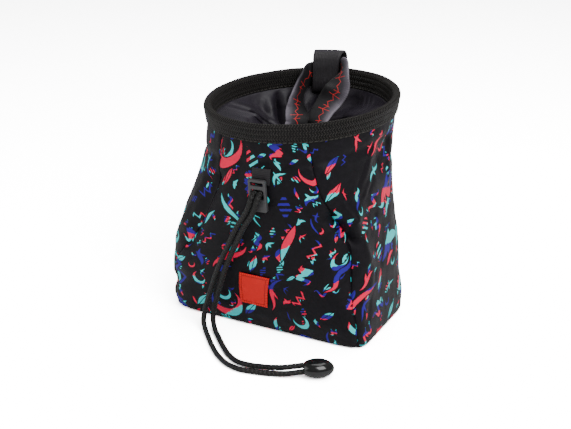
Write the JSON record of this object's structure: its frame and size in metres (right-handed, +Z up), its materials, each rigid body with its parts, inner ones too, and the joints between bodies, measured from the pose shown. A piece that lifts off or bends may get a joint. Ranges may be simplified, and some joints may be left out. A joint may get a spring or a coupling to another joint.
{
  "type": "climbing chalk bag",
  "caption": "Soft cloth bucket with a stiff round taped rim, a gathered inner collar, a webbing loop with a hanging strap at the back, and a closing cord with a lock on the front.",
  "frame": {"origin": "middle of the base's underside, on the floor", "axes": "+Z up; the face with the cord lock and the patch looks towards -Y; +X to its right, seen from the front"},
  "size_m": [0.1414, 0.1597, 0.1611],
  "materials": {
    "print": "matte woven, printed with a scattered brush-stroke pattern",
    "lining": "thin nylon with a soft sheen",
    "tape": "ribbed tape, matte",
    "webbing": "woven webbing, printed",
    "patch": "woven, matte",
    "lock": "satin",
    "cord": "braided",
    "gloss": "gloss"
  },
  "bodies": {
    "root": {"panel_front": "print", "panel_right": "print", "panel_back": "print", "panel_left": "print", "base_panel": "print", "lining": "lining", "collar": "lining", "rim_band": "tape", "belt_loop": "tape", "strap_loop": "webbing", "patch": "patch", "lock_tab": "tape", "cord_lock": "lock", "drawcord_left": "cord", "drawcord_right": "cord", "cord_end": "gloss"}
  },
  "joints": []
}
